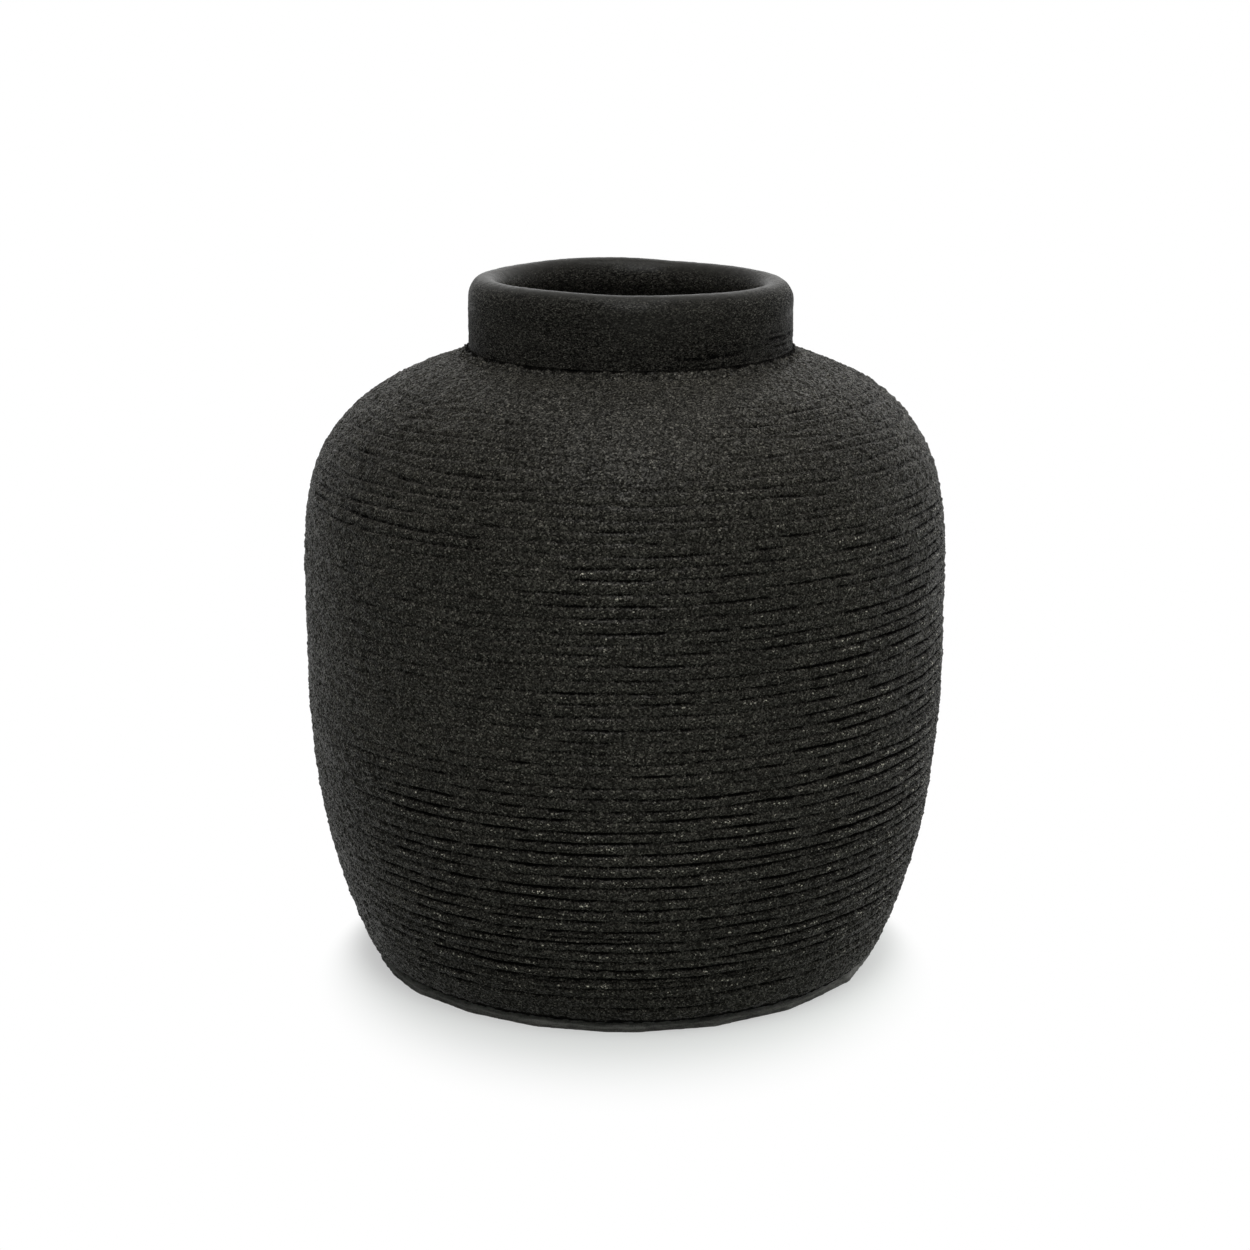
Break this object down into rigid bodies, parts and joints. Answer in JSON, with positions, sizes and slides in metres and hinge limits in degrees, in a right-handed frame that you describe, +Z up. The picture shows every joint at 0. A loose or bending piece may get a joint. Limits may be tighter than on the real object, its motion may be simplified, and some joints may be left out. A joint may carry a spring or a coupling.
{
  "type": "black clay jar",
  "caption": "Round-shouldered black clay jar with a short straight neck, a thick rolled rim and combed sides, standing on a thin felt pad.",
  "frame": {"origin": "middle of the felt pad's underside, where the jar rests", "axes": "+Z up along the turned axis from the pad to the rim, +X to the right and +Y away from a viewer in front"},
  "size_m": [0.2814, 0.2814, 0.3039],
  "materials": {
    "clay_wall": "coarse sandy black clay with combed lines, matte",
    "clay_neck": "wiped black clay, matte",
    "clay_rim": "black clay smoothed by hand, low sheen",
    "felt": "charcoal felt with a cut edge",
    "film": "translucent adhesive film"
  },
  "bodies": {
    "root": {"base_pad": "felt", "pad_adhesive": "film", "floor_slab": "clay_wall", "floor_seam_coil": "clay_wall", "lower_wall": "clay_wall", "belly_wall": "clay_wall", "upper_wall": "clay_wall", "shoulder": "clay_wall", "neck_seam_coil": "clay_neck", "neck_collar": "clay_neck", "rim_roll": "clay_rim"}
  },
  "joints": []
}
